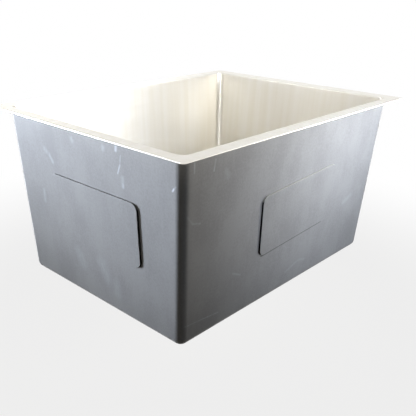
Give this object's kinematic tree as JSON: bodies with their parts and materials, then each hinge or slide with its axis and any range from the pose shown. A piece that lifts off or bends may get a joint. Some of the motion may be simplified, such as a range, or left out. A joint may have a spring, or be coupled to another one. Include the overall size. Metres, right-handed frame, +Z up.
{
  "type": "undermount utility sink",
  "caption": "Deep stainless undermount utility sink with a flat rim, undercoat, sound pads and a strainer basket that lifts out and plugs the outlet.",
  "frame": {"origin": "middle of the rim's top face, which bears on the worktop's underside", "axes": "+X along the long side, +Y from front to back, +Z up, out of the bowl's mouth"},
  "size_m": [0.6, 0.461, 0.3835],
  "materials": {
    "brushed_stainless": "brushed satin",
    "undercoat_grey": "sprayed satin",
    "pad_rubber": "sprayed face, black rubber edge",
    "strainer_stainless": "polished",
    "seal_rubber": "matt",
    "gasket_foam": "matt",
    "fibre_board": "matt",
    "nut_brass": "as turned",
    "nylon_white": "moulded"
  },
  "bodies": {
    "sink": {"bowl": "brushed_stainless", "undercoat": "undercoat_grey", "pad_front": "pad_rubber", "pad_left": "pad_rubber", "pad_right": "pad_rubber", "pad_rear": "pad_rubber", "pad_base_left": "pad_rubber", "pad_base_right": "pad_rubber", "strainer_body": "strainer_stainless", "outlet_spigot": "nut_brass", "crosspiece": "strainer_stainless", "flange_seal": "gasket_foam", "under_gasket": "seal_rubber", "friction_washer": "fibre_board", "lock_nut": "nut_brass"},
    "basket": {"basket_cup": "strainer_stainless", "stem_bushing": "nylon_white", "bushing_clip": "strainer_stainless", "detent_ring": "strainer_stainless"},
    "stopper": {"stem": "strainer_stainless", "stem_knob": "strainer_stainless", "stopper_seal": "seal_rubber", "stopper_washer": "strainer_stainless", "stem_tip": "strainer_stainless"}
  },
  "joints": [
    {"name": "basket_lift", "type": "slide", "parent": "sink", "child": "basket", "axis": [0, 0, 1], "range_m": [0, 0.065]},
    {"name": "stopper_pull", "type": "slide", "parent": "basket", "child": "stopper", "axis": [0, 0, 1], "range_m": [0, 0.008]}
  ]
}
